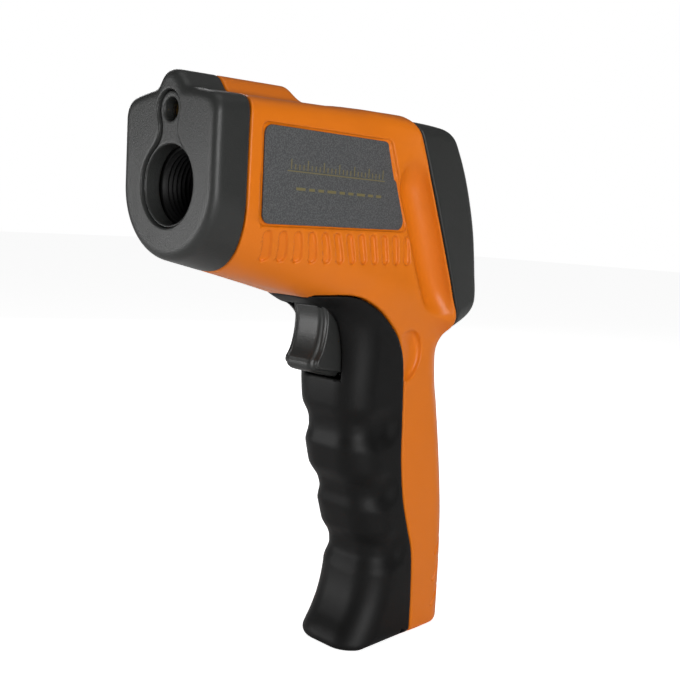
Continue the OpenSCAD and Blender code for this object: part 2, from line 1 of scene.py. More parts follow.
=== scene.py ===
"""Handheld infrared thermometer: pistol form with a leaning display end.

Shapes are drawn in millimetres. Y runs from the nose face at Y = 0 back to the display,
Z is up and +X is the instrument's left. Every finished piece is then moved by NOSE_Y.
"""

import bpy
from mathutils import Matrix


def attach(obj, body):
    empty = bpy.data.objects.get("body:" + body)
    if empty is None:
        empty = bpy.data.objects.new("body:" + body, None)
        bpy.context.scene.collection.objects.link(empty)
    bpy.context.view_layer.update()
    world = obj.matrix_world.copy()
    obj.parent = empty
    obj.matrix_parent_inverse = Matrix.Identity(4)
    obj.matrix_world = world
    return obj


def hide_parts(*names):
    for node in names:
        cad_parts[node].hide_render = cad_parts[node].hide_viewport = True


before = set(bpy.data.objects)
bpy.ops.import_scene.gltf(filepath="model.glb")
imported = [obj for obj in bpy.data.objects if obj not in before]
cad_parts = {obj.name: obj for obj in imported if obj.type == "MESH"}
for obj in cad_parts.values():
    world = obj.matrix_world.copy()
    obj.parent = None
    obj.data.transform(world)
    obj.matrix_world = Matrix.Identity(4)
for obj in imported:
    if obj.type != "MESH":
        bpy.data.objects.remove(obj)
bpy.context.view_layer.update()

import copy
import functools
import math
import bpy
import bmesh
import numpy as np
import openvdb as vdb
from mathutils import Matrix, Vector

scene = bpy.context.scene

MM = 0.001
NOSE_Y = -2.9                       # where the nose face lies in the CAD frame
BASE_Z = -127.4                     # underside of the handle
HINGE = (82.0, -125.8)              # door pin (Y, Z)
PIVOT = (54.5, -31.5)               # trigger pin (Y, Z)
PART_GAP = 0.16                     # set back of each moulding from its parting line
EDGE_BLEND = 0.55                   # softness of the edges along parting lines
REAR_Y, REAR_Z = 75.2, -5.0         # origin of the leaning display end
TILT = math.radians(23.8)
COS_TILT, SIN_TILT = math.cos(TILT), math.sin(TILT)
WINDOW_RISE = 6.0                   # window centre, up the display end
SEAT_HALF = (16.1, 12.1)            # half width and height of the window's seat
SEAT_CORNER = 1.8
PANE_GAP = 0.2                      # pane to seat, all round
KEY_PITCH, KEY_RISE, KEY_HALF = 11.5, -17.0, 1.3
LENS_Z = 16.8                       # axis of the small tube above the main lens


# =====================================================================
# distance fields: negative inside, positive outside
# =====================================================================
def smooth_min(a, b, blend):
    h = np.maximum(blend - np.abs(a - b), 0) / blend
    return np.minimum(a, b) - h * h * blend * 0.25


def smooth_max(a, b, blend):
    return -smooth_min(-a, -b, blend)


def smooth_cut(field, tool, blend):
    return smooth_max(field, -tool, blend)


def join(*fields):
    return functools.reduce(np.minimum, fields)


def overlap(*fields):
    return functools.reduce(np.maximum, fields)


def cut(field, tool):
    return np.maximum(field, -tool)


def ease(t):
    """Smooth step from 0 to 1."""
    t = np.clip(t, 0, 1)
    return t * t * (3 - 2 * t)


def band(value, centre, half):
    return np.abs(value - centre) - half


def distance(u, v, centre_u, centre_v):
    return np.sqrt((u - centre_u) ** 2 + (v - centre_v) ** 2)


def round_corner(u, v, radius):
    """Two walls met by a round corner; u and v are measured from the corner's centre."""
    outside = np.sqrt(np.maximum(u, 0) ** 2 + np.maximum(v, 0) ** 2)
    return outside + np.minimum(np.maximum(u, v), 0) - radius


def round_rect(u, v, half_u, half_v, radius):
    return round_corner(np.abs(u) - (half_u - radius), np.abs(v) - (half_v - radius), radius)


def stroke(u, v, start, end):
    """Distance to a straight segment."""
    start_u, start_v = start
    run_u, run_v = end[0] - start_u, end[1] - start_v
    along = ((u - start_u) * run_u + (v - start_v) * run_v) / (run_u * run_u + run_v * run_v)
    along = np.clip(along, 0, 1)
    return np.sqrt((u - start_u - run_u * along) ** 2 + (v - start_v - run_v * along) ** 2)


def polygon(outline, u, v):
    """Signed distance to a closed polygon."""
    outline = np.asarray(outline, float)
    square = np.full(np.broadcast(u, v).shape, 1e9)
    sign = np.ones_like(square)
    for i in range(len(outline)):
        here, before = outline[i], outline[i - 1]
        edge = before - here
        du, dv = u - here[0], v - here[1]
        along = np.clip((du * edge[0] + dv * edge[1]) / (edge @ edge), 0, 1)
        square = np.minimum(square, (du - edge[0] * along) ** 2 + (dv - edge[1] * along) ** 2)
        above, below, beside = v >= here[1], v < before[1], edge[0] * dv > edge[1] * du
        crossed = (above & below & beside) | (~above & ~below & ~beside)
        sign = np.where(crossed, -sign, sign)
    return (sign * np.sqrt(square)).astype(np.float32)


def spline(points, step=1.2, count=None):
    """Catmull-Rom curve, each span split in count parts or by length in steps."""
    points = [np.array(p, float) for p in points]
    points = [2 * points[0] - points[1]] + points + [2 * points[-1] - points[-2]]
    curve = []
    for i in range(1, len(points) - 2):
        p0, p1, p2, p3 = points[i - 1:i + 3]
        parts = count or max(2, int(np.linalg.norm(p2 - p1) / step))
        for j in range(parts):
            t = j / parts
            curve.append(0.5 * (2 * p1 + (p2 - p0) * t
                                + (2 * p0 - 5 * p1 + 4 * p2 - p3) * t * t
                                + (3 * p1 - p0 - 3 * p2 + p3) * t ** 3))
    curve.append(points[-2])
    return curve


class Grid:
    """Sample points of a box; x, y and z broadcast against each other."""

    def __init__(self, low, high, voxel):
        self.voxel = voxel
        self.low = np.array(low, float)
        self.shape = tuple(np.ceil((np.array(high) - self.low) / voxel).astype(int) + 1)
        x, y, z = [(self.low[i] + voxel * np.arange(self.shape[i])).astype(np.float32)
                   for i in range(3)]
        self.x, self.y, self.z = x[:, None, None], y[None, :, None], z[None, None, :]


def centred_grid(reach, low_yz, high_yz, voxel):
    """Grid with a sample plane at X = 0."""
    return Grid((-round(reach / voxel) * voxel, *low_yz), (reach, *high_yz), voxel)


def mirrored(grid, field):
    """Doubles a half field about the sample plane nearest X = 0."""
    middle = int(np.argmin(np.abs(grid.x[:, 0, 0])))
    reach = (field.shape[0] - middle - 1) * grid.voxel
    field = np.concatenate([field[middle + 1:][::-1], field[middle:]], 0)
    whole = copy.copy(grid)
    whole.low = grid.low.copy()
    whole.low[0] = float(grid.x[middle, 0, 0]) - reach
    whole.shape = field.shape
    whole.x = None
    return whole, field


def mesh_field(grid, field, adapt):
    """Turns a distance field into points, faces and smooth normals."""
    field = np.ascontiguousarray(np.broadcast_to(field, grid.shape), dtype=np.float32)
    limit = 3.0 * grid.voxel
    field = np.clip(field, -limit, limit)
    # close the field at the walls of its grid
    for axis in range(3):
        for i in (0, -1):
            wall = [slice(None)] * 3
            wall[axis] = i
            field[tuple(wall)] = limit
    volume = vdb.FloatGrid(limit)
    volume.copyFromArray(field, tolerance=0.0)
    volume.transform = vdb.createLinearTransform(1.0)
    points, tris, quads = volume.convertToPolygons(isovalue=0.0, adaptivity=adapt)
    points = np.asarray(points, float)
    faces = [tuple(int(i) for i in face) for group in (tris, quads) for face in group]

    def sample(p):
        """Trilinear value of the field."""
        p = np.clip(p, 0, np.array(grid.shape) - 1.001)
        i = p.astype(int)
        t = p - i
        total = 0
        for dx in (0, 1):
            for dy in (0, 1):
                for dz in (0, 1):
                    weight = ((t[:, 0] if dx else 1 - t[:, 0])
                              * (t[:, 1] if dy else 1 - t[:, 1])
                              * (t[:, 2] if dz else 1 - t[:, 2]))
                    total = total + weight * field[i[:, 0] + dx, i[:, 1] + dy, i[:, 2] + dz]
        return total

    reach = 0.55                    # half span of the gradient, in voxels
    normals = np.stack([sample(points + offset) - sample(points - offset)
                        for offset in reach * np.eye(3)], 1)
    normals /= np.maximum(np.linalg.norm(normals, axis=1), 1e-9)[:, None]
    # one Newton step onto the surface
    error = sample(points) / grid.voxel
    points = points - normals * np.clip(error, -0.3, 0.3)[:, None]
    return points * grid.voxel + grid.low, faces, normals


# =====================================================================
# objects
# =====================================================================
def add_object(name, mesh):
    piece = bpy.data.objects.new(name, mesh)
    scene.collection.objects.link(piece)
    return piece


def make(name, points, faces, normals=None, mirror=False):
    """Smooth-shaded mesh object with its faces turned outward."""
    points = np.array(points, float)
    if mirror:
        points[:, 0] *= -1
        faces = [face[::-1] for face in faces]
        normals = normals * [-1, 1, 1]
    mesh = bpy.data.meshes.new(name)
    mesh.from_pydata([tuple(p) for p in points * MM], [], faces)
    mesh.update()
    piece = add_object(name, mesh)
    count = len(mesh.polygons)
    facing, centres, areas = np.empty(count * 3), np.empty(count * 3), np.empty(count)
    mesh.polygons.foreach_get("normal", facing)
    mesh.polygons.foreach_get("center", centres)
    mesh.polygons.foreach_get("area", areas)
    if (facing.reshape(-1, 3) * centres.reshape(-1, 3)).sum(1) @ areas < 0:
        mesh.flip_normals()
    mesh.polygons.foreach_set("use_smooth", [True] * count)
    if normals is not None:
        mesh.normals_split_custom_set_from_vertices([tuple(n) for n in normals])
    return piece


def field_piece(name, grid, field, mirror=False, adapt=0.0):
    return make(name, *mesh_field(grid, field, adapt), mirror)


def finish_piece(piece, body, material, slot, *nodes):
    """Moves a piece to the CAD frame, gives it its finish, hangs it under its body's empty and
    hides the CAD parts it replaces.
    """
    piece.data.transform(Matrix.Translation((0, NOSE_Y * MM, 0)))
    piece.data.materials.append(material)
    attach(piece, body)
    if nodes:
        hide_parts(*nodes)


# =====================================================================
# materials
# =====================================================================
def linear(code):
    """Linear RGB of an sRGB hex code."""
    channels = [int(code[i:i + 2], 16) / 255 for i in (0, 2, 4)]
    return [c / 12.92 if c <= 0.04045 else ((c + 0.055) / 1.055) ** 2.4 for c in channels]


def surface(name, code, rough, grain, bump, vary=0.06, metal=0.0, coat=0.0, spec=0.5,
            alpha=1.0, fleck=None):
    """Finish with broad colour and gloss variation and a fine bump.

    grain is the fine noise scale, vary the share by which the colour drifts, and fleck
    the colour of an optional second tone that follows the grain.
    """
    material = bpy.data.materials.new(name)
    material.use_nodes = True
    nodes, links = material.node_tree.nodes, material.node_tree.links
    shader = nodes["Principled BSDF"]
    colour = linear(code)
    coords = nodes.new("ShaderNodeTexCoord")
    broad = nodes.new("ShaderNodeTexNoise")
    fine = nodes.new("ShaderNodeTexNoise")
    for noise, scale, detail in ((broad, 45.0, 3.0), (fine, grain, 2.0)):
        noise.inputs["Scale"].default_value = scale
        noise.inputs["Detail"].default_value = detail
        links.new(coords.outputs["Object"], noise.inputs["Vector"])
    tint = nodes.new("ShaderNodeMix")
    tint.data_type = "RGBA"
    tint.inputs["A"].default_value = [c * (1 - vary) for c in colour] + [1]
    tint.inputs["B"].default_value = [min(1, c * (1 + vary)) for c in colour] + [1]
    links.new(broad.outputs["Fac"], tint.inputs["Factor"])
    if fleck is not None:
        ramp = nodes.new("ShaderNodeValToRGB")
        ramp.color_ramp.elements[0].position = 0.42
        ramp.color_ramp.elements[1].position = 0.64
        links.new(fine.outputs["Fac"], ramp.inputs["Fac"])
        plain = tint
        tint = nodes.new("ShaderNodeMix")
        tint.data_type = "RGBA"
        links.new(ramp.outputs["Color"], tint.inputs["Factor"])
        links.new(plain.outputs["Result"], tint.inputs["A"])
        tint.inputs["B"].default_value = linear(fleck) + [1]
    links.new(tint.outputs["Result"], shader.inputs["Base Color"])
    gloss = nodes.new("ShaderNodeMapRange")
    swing = 0.08                    # roughness drift either way
    gloss.inputs["To Min"].default_value = max(0.02, rough - swing)
    gloss.inputs["To Max"].default_value = min(1, rough + swing)
    links.new(broad.outputs["Fac"], gloss.inputs["Value"])
    links.new(gloss.outputs["Result"], shader.inputs["Roughness"])
    shader.inputs["Metallic"].default_value = metal
    shader.inputs["Specular IOR Level"].default_value = spec
    shader.inputs["Coat Weight"].default_value = coat
    shader.inputs["Alpha"].default_value = alpha
    relief = nodes.new("ShaderNodeBump")
    relief.inputs["Strength"].default_value = bump
    relief.inputs["Distance"].default_value = 0.0001
    links.new(fine.outputs["Fac"], relief.inputs["Height"])
    links.new(relief.outputs["Normal"], shader.inputs["Normal"])
    return material


ORANGE = surface("orange_moulding", "DA7210", rough=0.40, grain=2200, bump=0.25, vary=0.05,
                 spec=0.3)
BLACK = surface("black_grained", "2A2B2A", rough=0.44, grain=2600, bump=0.5, vary=0.1, spec=0.42)
GRIP = surface("grip_satin", "0B0B0B", rough=0.50, grain=2600, bump=0.25, vary=0.12, spec=0.2)
TRIGGER = surface("trigger_satin", "222322", rough=0.43, grain=2600, bump=0.3, vary=0.1)
DARK = surface("optics_black", "0C0C0C", rough=0.5, grain=2400, bump=0.3, vary=0.1, spec=0.25)
LABEL = surface("label_film", "454647", rough=0.55, grain=3000, bump=0.5, vary=0.08, spec=0.3,
                fleck="5C5D5E")
INK = surface("label_ink", "6E653E", rough=0.5, grain=1900, bump=0.3, vary=0.1)
STEEL = surface("bright_steel", "B9BABD", rough=0.3, grain=1500, bump=0.15, metal=1)
BRASS = surface("turned_brass", "C9A255", rough=0.28, grain=1500, bump=0.15, vary=0.08, metal=1)
BOARD = surface("solder_mask", "1B5A2C", rough=0.35, grain=900, bump=0.3, vary=0.15, coat=0.3,
                fleck="2C7A3E")
EPOXY = surface("epoxy_black", "101010", rough=0.3, grain=1200, bump=0.2)
KEY = surface("key_rubber", "3A3B3C", rough=0.6, grain=2400, bump=0.4, vary=0.08)
LCD = surface("lcd_glass", "8E9A86", rough=0.25, grain=1500, bump=0.05, vary=0.03, coat=0.3)
SEGMENT = surface("lcd_segment", "0B0D09", rough=0.4, grain=1500, bump=0.05)
WHITE = surface("diffuser_white", "E6E5DC", rough=0.5, grain=1500, bump=0.1)
PINK = surface("elastomer", "C98FA0", rough=0.6, grain=1500, bump=0.2)
CELL = surface("cell_sleeve", "20263A", rough=0.3, grain=1200, bump=0.1, vary=0.1, coat=0.3)
GLASS = surface("lens_plastic", "DDE6EA", rough=0.12, grain=1500, bump=0.02, alpha=0.55)
WINDOW = surface("display_window", "C8D0D0", rough=0.08, grain=1500, bump=0.01, coat=0.5,
                 alpha=0.22)
RED = surface("red_plastic", "A01812", rough=0.35, grain=1200, bump=0.1)
RED_WIRE, BLACK_WIRE, GREY_WIRE, BLUE_WIRE = [
    surface(f"{hue}_insulation", code, rough=0.5, grain=1500, bump=0.1)
    for hue, code in (("red", "9C1710"), ("black", "161616"), ("grey", "A5A5A3"),
                      ("blue", "203A80"))]

# =====================================================================
# side outlines, points (Y, Z)
# =====================================================================
# region of the black grip, bounded behind and above by its seam with the housing
GRIP_ZONE = [(30, -34.0)] + spline([
    (30, -25.15), (36, -25.15), (42, -24.9), (46, -24.7), (50, -24.9), (54, -26), (60, -29),
    (66, -33.1), (70.4, -37.3), (73.1, -43), (74.6, -52), (75.6, -62), (76.2, -72),
    (78.3, -84.5), (81.4, -94), (83.9, -102), (85, -115), (85.3, -124),
]) + [(85.3, -135), (0, -135), (0, -34.0)]
HANDLE_BACK = spline([
    (86.5, -33.5), (89.2, -36.4), (90.6, -40), (91.2, -44), (92.6, -51), (94.6, -58),
    (97.6, -73), (100.0, -88), (101.2, -101), (101.7, -113), (101.9, -124), (102, -134)])
HANDLE_FRONT = spline([
    (57.5, -132), (59.0, -127), (60.2, -123.6), (63.2, -119), (65.6, -113.5), (66.9, -107),
    (66.8, -101.5), (66.2, -98), (64.6, -92.5), (62.7, -87), (60.6, -81.5), (58.4, -75.5),
    (56.8, -70), (55.6, -65), (54.9, -60), (54.3, -55.6), (53.9, -50.9), (53.8, -44),
    (53.2, -38), (51.2, -32.5), (47.5, -29.3), (44.0, -28.2), (41.6, -27.0), (40.0, -25.6),
    (38.8, -23.0)])
HANDLE = HANDLE_BACK + HANDLE_FRONT + [(40, -16), (70, -18), (84, -26)]
# rear face in the display end's own axes (outward, up its slope)
REAR_FACE = [(-200, 300), (-8, 62)] + spline([
    (6.2, 34), (8.2, 29.5), (11.2, 24.6), (13.4, 20.2), (14.5, 14), (14.9, 8), (14.75, 1),
    (14.1, -6.5), (13.0, -12.8), (11.5, -19.5), (10.2, -25.5), (7.6, -30.4), (3.4, -32.7),
    (-2, -33.2)], 1.5) + [(-200, -33.2)]
# finger grooves: Z, half height, depth, Y of the rear end
GROOVES = ((-62.2, 5.3, 1.55, 73.4), (-80.8, 5.2, 1.6, 74.8), (-99.4, 5.6, 1.6, 80.0))


def rear_axes(y, z):
    """Coordinates outward from the leaning display end and up its slope."""
    y, z = y - REAR_Y, z - REAR_Z
    return y * COS_TILT + z * SIN_TILT, -y * SIN_TILT + z * COS_TILT


def rear_point(x, rise, out):
    """The inverse: a point at X, up the slope and outward."""
    return (x, REAR_Y + out * COS_TILT - rise * SIN_TILT,
            REAR_Z + out * SIN_TILT + rise * COS_TILT)


def outer_form(grid):
    """The whole outer form of the instrument, and its flared rear end alone."""
    y, z = grid.y, grid.z
    abs_x = np.abs(grid.x)
    out, rise = rear_axes(y, z)
    # barrel: section changes along Y
    half_width = 17.35 + 0.45 * np.clip(y / 30, 0, 1)
    corner = 17.0 - 6.5 * ease((y - 12) / 44)
    bottom = -16.9 - 0.222 * y
    barrel = round_corner(abs_x - (half_width - corner), (bottom + corner) - z, corner)
    barrel = np.maximum(barrel, abs_x - half_width)
    back = np.clip(y / 50, 0, 1)
    top = z - (21.75 + 1.15 * back - (0.0088 - 0.0040 * back) * abs_x * abs_x)
    barrel = smooth_max(barrel, top, 3.6)
    # round ridge along the top, sinking away at its rear
    ridge_z = 21.35 + 0.026 * y - 6.5 * ease((y - 33.0) / 8.5)
    ridge = np.maximum(distance(abs_x, z, 0, ridge_z) - 4.3, y - 46)
    barrel = smooth_min(barrel, ridge, 3.0)
    barrel = np.maximum(barrel, out + 1)
    # handle
    half_width = 12.55 + 1.2 * ease((z + 62) / 30)
    corner = 9.0 - 2.5 * ease((y - 72 - (-z - 40) * 0.09) / 14)
    handle = round_corner(polygon(HANDLE, y, z) + corner, abs_x - (half_width - corner), corner)
    # flared rear end, tapering forward of its rim
    rim_corner = 6.5
    ahead = np.maximum(-1.0 - out, 0)
    side = abs_x - (21.45 - 0.0008 * rise ** 2) + rim_corner
    under = (-32.6 - rise) + rim_corner
    rim = round_corner(side, under, rim_corner)
    cone = round_corner(side + 0.42 * ahead, under + 1.25 * ahead, rim_corner)
    rear = smooth_max(cone, z - (23.0 - 0.0075 * abs_x * abs_x) + 0.07 * ahead, 2.8)
    rear = np.maximum(rear, -16.0 - out)
    face = polygon(REAR_FACE, out, rise)
    rear = smooth_max(rear, face + 0.0022 * abs_x * abs_x - 0.45, 1.1)
    form = smooth_min(barrel, rear, 3.0)
    # concave valley that runs round in front of the rim, fading at top and bottom
    fade = 6.5 * ease((rise - 11.0) / 15) + 5.5 * ease((-19.0 - rise) / 14)
    valley = np.sqrt((rim + 0.45 - fade) ** 2 + (out + 5.9) ** 2) - 5.1
    form = smooth_cut(form, valley, 1.1)
    form = smooth_min(form, handle, 1.2 + 6.3 * ease((y - 43) / 19))
    for groove_z, half_height, depth, end_y in GROOVES:
        front_y = 56 + (-groove_z - 60) * 0.19
        slope_z = (z - groove_z) + (y - front_y) * 0.02
        groove = stroke(y, slope_z, (front_y - 14, 0), (end_y - half_height, 0)) - half_height
        form = form + depth * ease(-(groove - 1.2) / 5.6)
    # nose edge and base edge
    form = smooth_max(form, -y, 2.4)
    form = smooth_max(form, BASE_Z - z, 2.6)
    return form, rear


def nose_edge(abs_x):
    """Y of the line where the nose cap meets the housing."""
    return 12.6 - 3.2 * (abs_x / 17.4) ** 2


# =====================================================================
# housing halves and battery door, from one half grid
# =====================================================================
LABEL_POCKET = [(14.9, 13.4), (55.0, 13.7), (62.9, -6.0), (15.3, -6.3)]
HOLLOW = (73.4, -42.0)              # centre of the half-moon hollow (Y, Z)
BACK_MARKS = (((95.2, -104.2), (99.2, -98.4)), ((95.0, -112.6), (99.6, -104.8)),
              ((95.0, -120.6), (99.8, -114.2)))
SCREW_WELLS = ((28, 18.2), (52, 18.2), (57, -21.5), (86.5, -58), (94, -112))
TRIGGER_SLOT = [(30, -27.9), (61, -27.9), (61, -49.3), (50, -47.5), (30, -44.5)]
KNUCKLE_HALF = 8.8                  # half width of the door's hinge knuckle


def pocket(skin, form, outline, depth, rim_blend, floor_blend):
    """Sinks the surface by a depth inside an outline."""
    return smooth_cut(skin, smooth_max(outline, -(form + depth), floor_blend), rim_blend)


def marked_skin(grid, form):
    """Outer surface with the shallow pockets and marks of the orange housing."""
    y, z = grid.y, grid.z
    abs_x = np.abs(grid.x)
    label = np.maximum(polygon(LABEL_POCKET, y, z) - 1.7, 10 - abs_x)
    skin = pocket(form, form, label, 0.66, 0.3, 0.15)
    # row of short slanted slots below the label
    for i in range(12):
        lean = math.radians(-20 + 1.1 * i)
        mid_y, mid_z = 18.0 + 4.31 * i, -12.6
        dy, dz = -2.7 * math.sin(lean), 2.7 * math.cos(lean)
        slot = stroke(y, z, (mid_y - dy, mid_z + dz), (mid_y + dy, mid_z - dz)) - 1.1
        skin = pocket(skin, form, np.maximum(slot, 8 - abs_x), 0.75, 0.3, 0.5)
    # half-moon hollow beside the grip, deeper toward the rear
    moon = np.sqrt((y - HOLLOW[0]) ** 2 + ((z - HOLLOW[1]) * 0.93) ** 2) - 7.0
    depth = 0.1 + 1.35 * np.clip((y - 70.6) / 6.5, 0, 1)
    skin = pocket(skin, form, np.maximum(moon, 8 - abs_x), depth, 0.4, 1.6)
    # slanted marks low on the back of the handle
    for start, end in BACK_MARKS:
        mark = np.maximum(stroke(y, z, start, end) - 0.5, 3 - abs_x)
        skin = pocket(skin, form, mark, 0.5, 0.2, 0.3)
    return skin


def build_housing(grid, form, rear, seam, hinge):
    """Orange halves; seam is negative on the grip's side, hinge is distance to its pin."""
    y, z = grid.y, grid.z
    abs_x = np.abs(grid.x)
    out = rear_axes(y, z)[0]
    # wall, thicker behind the half-moon hollow
    inner = form + 2.0 + 1.1 * ease(-(distance(y, z, *HOLLOW) - 11) / 3)
    shell = smooth_cut(marked_skin(grid, form), seam - PART_GAP, EDGE_BLEND)
    shell = smooth_max(shell, (nose_edge(abs_x) + PART_GAP) - y, EDGE_BLEND)
    shell = smooth_cut(shell, np.maximum(-(out + PART_GAP), rear - 0.3), EDGE_BLEND)
    shell = cut(shell, inner)
    # room for the door's knuckle, and the ears that hold its pin
    shell = smooth_cut(shell, hinge - 3.45, 0.3)
    arm = np.maximum(band(z, HINGE[1], 1.5), band(y, 86.0, 4.0))
    ear = np.maximum(np.minimum(hinge - 1.5, arm), band(abs_x, 9.7, 0.7))
    shell = np.minimum(shell, np.maximum(ear, form))
    shell = cut(shell, hinge - 0.83)
    split = 0.04 - grid.x
    half = np.maximum(shell, split)
    finish_piece(field_piece("housing_left", grid, half, adapt=0.04),
                 "housing", ORANGE, "orange_plastic", "left_shell")
    # screw wells on the right half only
    for well_y, well_z in SCREW_WELLS:
        well = distance(y, z, well_y, well_z)
        half = np.minimum(half, overlap(well - 3.6, form, 6.6 - abs_x))
        half = smooth_cut(half, well - 2.5, 0.3)
    half = np.maximum(half, split)
    finish_piece(field_piece("housing_right", grid, half, mirror=True, adapt=0.04),
                 "housing", ORANGE, "orange_plastic", "right_shell")


def build_door(grid, form, seam, hinge):
    """Battery door: the whole black front of the grip."""
    y, z = grid.y, grid.z
    abs_x = np.abs(grid.x)
    door = smooth_max(form, seam + PART_GAP, EDGE_BLEND)
    door = cut(door, np.maximum(form + 1.6, z + 33.5))
    slot = np.maximum(polygon(TRIGGER_SLOT, y, z), abs_x - 6.75)
    door = smooth_cut(door, slot, 0.5)
    # notch low at the rear, then the knuckle and the foot that joins it on
    door = cut(door, overlap(abs_x - 10.72, 77.3 - y, z + 120))
    knuckle = overlap(hinge - 3.1, abs_x - KNUCKLE_HALF, BASE_Z + 0.05 - z)
    foot = overlap(abs_x - KNUCKLE_HALF, 76.4 - y, y - 82, z + 125.2, BASE_Z - z)
    door = join(door, knuckle, foot)
    door = cut(door, hinge - 0.88)
    finish_piece(field_piece("grip_front", *mirrored(grid, door), adapt=0.04),
                 "door", GRIP, "grip_black", "battery_door")


def build_main_mouldings():
    grid = Grid((-1.5, -1.2, -129.2), (23.0, 104.0, 28.4), 0.36)
    form, rear = outer_form(grid)
    seam = polygon(GRIP_ZONE, grid.y, grid.z)
    seam = np.maximum(seam, (39.2 + np.minimum(0.02 * np.abs(grid.x) ** 2, 1.0)) - grid.y)
    hinge = distance(grid.y, grid.z, *HINGE)
    build_housing(grid, form, rear, seam, hinge)
    build_door(grid, form, seam, hinge)


build_main_mouldings()


# =====================================================================
# nose, display end and trigger
# =====================================================================
def build_nose():
    """Nose cap with a keyhole opening, and the optics plate that fills it."""
    grid = centred_grid(20.0, (-1.0, -21.0), (14.5, 28.0), 0.3)
    form = outer_form(grid)[0]
    x, y, z = grid.x, grid.y, grid.z
    abs_x = np.abs(x)
    lens = distance(x, z, 0, 0)
    bore = distance(x, z, 0, LENS_Z)
    neck = np.maximum(abs_x - 3.35, band(z, 11, 6))
    keyhole = smooth_min(lens - 9.85, neck, 3.5)
    keyhole = smooth_min(keyhole, distance(x, z, 0, 16.9) - 4.15, 1.0)

    cap = smooth_max(form, y - (nose_edge(abs_x) - PART_GAP), 0.5)
    cap = cut(cap, np.maximum(form + 1.8, 2.0 - y))
    cap = smooth_cut(cap, np.maximum(keyhole, y - 4), 0.35)
    finish_piece(field_piece("nose_cap_outer", grid, cap),
                 "housing", BLACK, "black_plastic", "nose_cap")

    plate = smooth_max(keyhole + 0.14, band(y, 1.85, 1.1), 0.5)
    collar = np.maximum(lens - 9.7, band(y, 2.9, 2.1))
    sleeve = np.maximum(bore - 3.8, band(y, 6.9, 6.0))
    plate = join(plate, collar, sleeve)
    plate = smooth_cut(plate, lens - 9.06, 0.5)
    plate = smooth_cut(plate, bore - 2.56, 0.5)
    plate = cut(plate, np.maximum(bore - 3.05, 3.4 - y))
    finish_piece(field_piece("optics_plate", grid, plate),
                 "housing", BLACK, "black_plastic", "optics_insert")


def key_line(x, rise, centre):
    """Distance to the centre line of a pill-shaped key."""
    return stroke(x, rise, (centre - KEY_HALF, KEY_RISE), (centre + KEY_HALF, KEY_RISE))


def build_bezel():
    grid = centred_grid(23.0, (60.0, -38.0), (98.0, 26.0), 0.36)
    rear = outer_form(grid)[1]
    out, rise = rear_axes(grid.y, grid.z)
    bezel = smooth_max(rear, 0.2 - out, 0.6)
    bezel = cut(bezel, rear + 1.9)
    opening = round_rect(grid.x, rise - WINDOW_RISE, 14.6, 10.6, 1.4)
    bezel = smooth_cut(bezel, np.maximum(opening, 5 - out), 0.6)
    seat = round_rect(grid.x, rise - WINDOW_RISE, *SEAT_HALF, SEAT_CORNER)
    bezel = smooth_cut(bezel, np.maximum(seat, 13.35 - out), 0.3)
    for k in (-1, 0, 1):
        hole = key_line(grid.x, rise, k * KEY_PITCH) - 2.95
        bezel = smooth_cut(bezel, np.maximum(hole, 5 - out), 0.5)
    finish_piece(field_piece("display_bezel", grid, bezel),
                 "housing", BLACK, "black_plastic", "rear_bezel")


def build_key(k, side):
    """One domed key with a flange at its foot, k pitches to the left of centre."""
    centre = k * KEY_PITCH
    grid = Grid((centre - 6, 81.0, -27.5), (centre + 6, 97.0, -13.0), 0.2)
    out, rise = rear_axes(grid.y, grid.z)
    x = grid.x - centre
    up = rise - KEY_RISE
    face = (out - (12.5 + 0.176 * up)) / 1.015 + 0.01 * (x ** 2 + up ** 2)
    line = key_line(x, rise, 0)
    foot = 8.0 - out
    body = smooth_max(smooth_max(line - 2.72, face, 1.1), foot, 0.2)
    flange = overlap(line - 3.4, out - 8.9, foot)
    finish_piece(field_piece(f"key_{side}", grid, np.minimum(body, flange)),
                 f"{side}_key", KEY, "button_grey", f"button_{side}")


# trigger outlines (Y, Z): front edge, lower edge, then straight back up
BLADE = (spline([(46.9, -28.25), (47.55, -31), (47.6, -33.6), (47.15, -36.9), (46.1, -40.0),
                 (44.7, -42.3)], 0.5)
         + spline([(44.35, -43.4), (44.55, -44.7), (45.6, -45.7), (48, -46.4), (52, -47.3),
                   (55.4, -47.9)], 0.5)
         + [(56.5, -46), (57.3, -34), (57.2, -28.3)])
FLANK = (spline([(47.9, -28.3), (48.6, -31), (48.7, -33.6), (48.25, -37), (47.3, -40.3),
                 (45.9, -42.6)], 0.5)
         + spline([(45.7, -43.4), (45.9, -44.2), (47.0, -44.9), (50, -45.5), (55.2, -46.4)], 0.5)
         + [(56.5, -45), (57.3, -34), (57.2, -28.3)])
TAB = [(54, -37.5), (59.4, -38.5), (60.1, -39.5), (59.4, -40.5), (54, -43.5)]


def build_trigger():
    grid = centred_grid(7.4, (42.5, -49.5), (61.5, -27.0), 0.18)
    y, z = grid.y, grid.z
    abs_x = np.abs(grid.x)
    pivot = distance(y, z, *PIVOT)
    trigger = smooth_max(polygon(BLADE, y, z), abs_x - 5.15, 2.2)
    flank = smooth_max(polygon(FLANK, y, z), abs_x - 6.4, 0.7)
    trigger = smooth_min(trigger, flank, 0.5)
    trigger = np.minimum(trigger, np.maximum(pivot - 2.85, abs_x - 6.3))
    trigger = np.minimum(trigger, smooth_max(polygon(TAB, y, z), abs_x - 1.2, 0.4))
    trigger = cut(trigger, pivot - 1.06)
    # hollow at the upper rear, round the pivot
    trigger = cut(trigger, overlap(abs_x - 2.8, 50.8 - y, -36.4 - z))
    finish_piece(field_piece("trigger_blade", grid, trigger),
                 "trigger", TRIGGER, "grip_black", "trigger")


build_nose()
build_bezel()
for k, side in ((1, "left"), (0, "middle"), (-1, "right")):
    build_key(k, side)
build_trigger()


